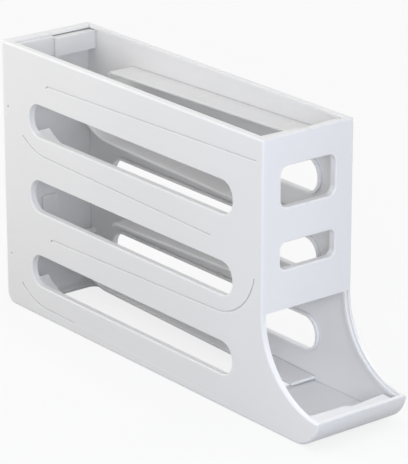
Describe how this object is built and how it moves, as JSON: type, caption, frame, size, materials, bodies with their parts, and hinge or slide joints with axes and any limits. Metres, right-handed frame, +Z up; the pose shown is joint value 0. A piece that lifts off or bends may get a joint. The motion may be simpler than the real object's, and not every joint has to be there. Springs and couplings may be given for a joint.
{
  "type": "egg organizer",
  "caption": "Tall narrow rolling egg organizer: open-topped white case with slotted sides, sloped inner rails in tiers, windows in the front wall and a scooped tray at the front.",
  "frame": {"origin": "middle of the base, on the surface the organizer stands on, at half its overall length and half its width", "axes": "+X towards the tray at the front, +Z up, +Y towards the panel on the right of someone who faces the tray"},
  "size_m": [0.359, 0.0796, 0.204],
  "materials": {
    "shell_plastic": "satin white moulded plastic",
    "rail_plastic": "satin white moulded plastic",
    "dowel_plastic": "plain off-white plastic"
  },
  "bodies": {
    "root": {"left_shell": "shell_plastic", "right_shell": "shell_plastic", "left_top_rail": "rail_plastic", "right_top_rail": "rail_plastic", "left_second_rail": "rail_plastic", "right_second_rail": "rail_plastic", "left_third_rail": "rail_plastic", "right_third_rail": "rail_plastic", "left_bottom_rail": "rail_plastic", "right_bottom_rail": "rail_plastic", "upper_rear_dowel": "dowel_plastic", "lower_rear_dowel": "dowel_plastic"}
  },
  "joints": []
}
